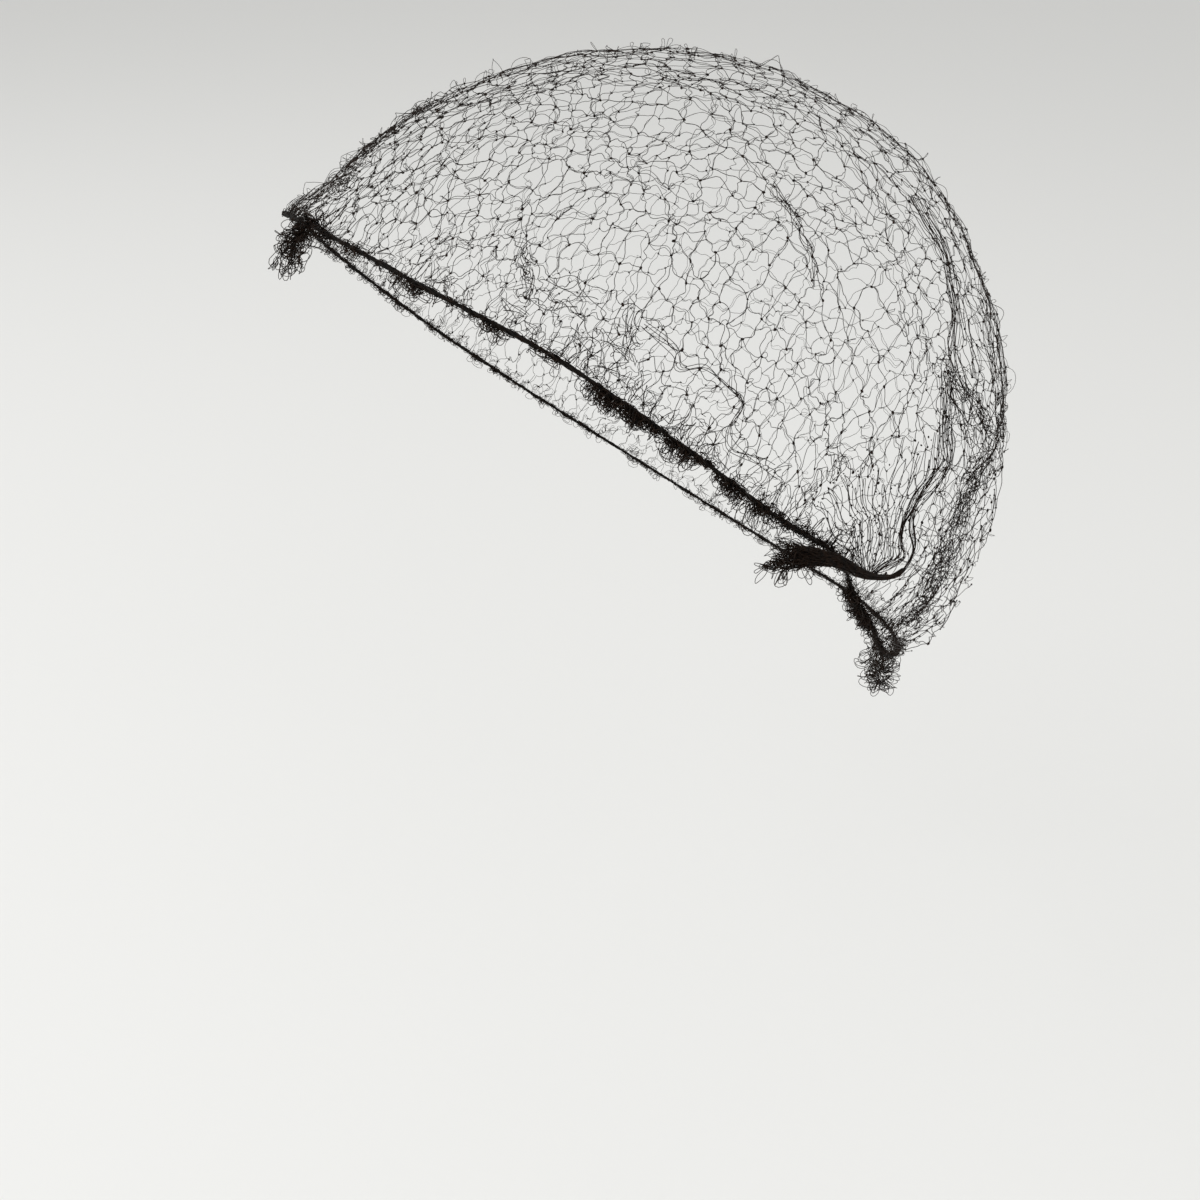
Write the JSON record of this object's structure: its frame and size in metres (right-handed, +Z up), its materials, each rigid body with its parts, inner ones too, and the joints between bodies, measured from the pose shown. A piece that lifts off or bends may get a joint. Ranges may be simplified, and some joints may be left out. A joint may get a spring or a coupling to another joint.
{
  "type": "knotted mesh hairnet",
  "caption": "Worn hairnet cap of fine knotted mesh with an elastic edge cord, gathered and tied at the side, with looped ends at the forehead and nape.",
  "frame": {"origin": "middle of the opening that the head goes in through, which is the centre of the elastic loop", "axes": "+Z up as worn, -Y towards the wearer's face, +X towards the wearer's left"},
  "size_m": [0.166, 0.1794, 0.147],
  "materials": {
    "net_thread": "fine brown-black nylon filament with a low sheen",
    "elastic_cord": "matte black covered elastic cord"
  },
  "bodies": {
    "root": {"net_cap": "net_thread", "edge_elastic": "elastic_cord", "side_gather": "net_thread", "side_tuft": "net_thread", "front_gather": "net_thread", "nape_gather": "net_thread"}
  },
  "joints": []
}
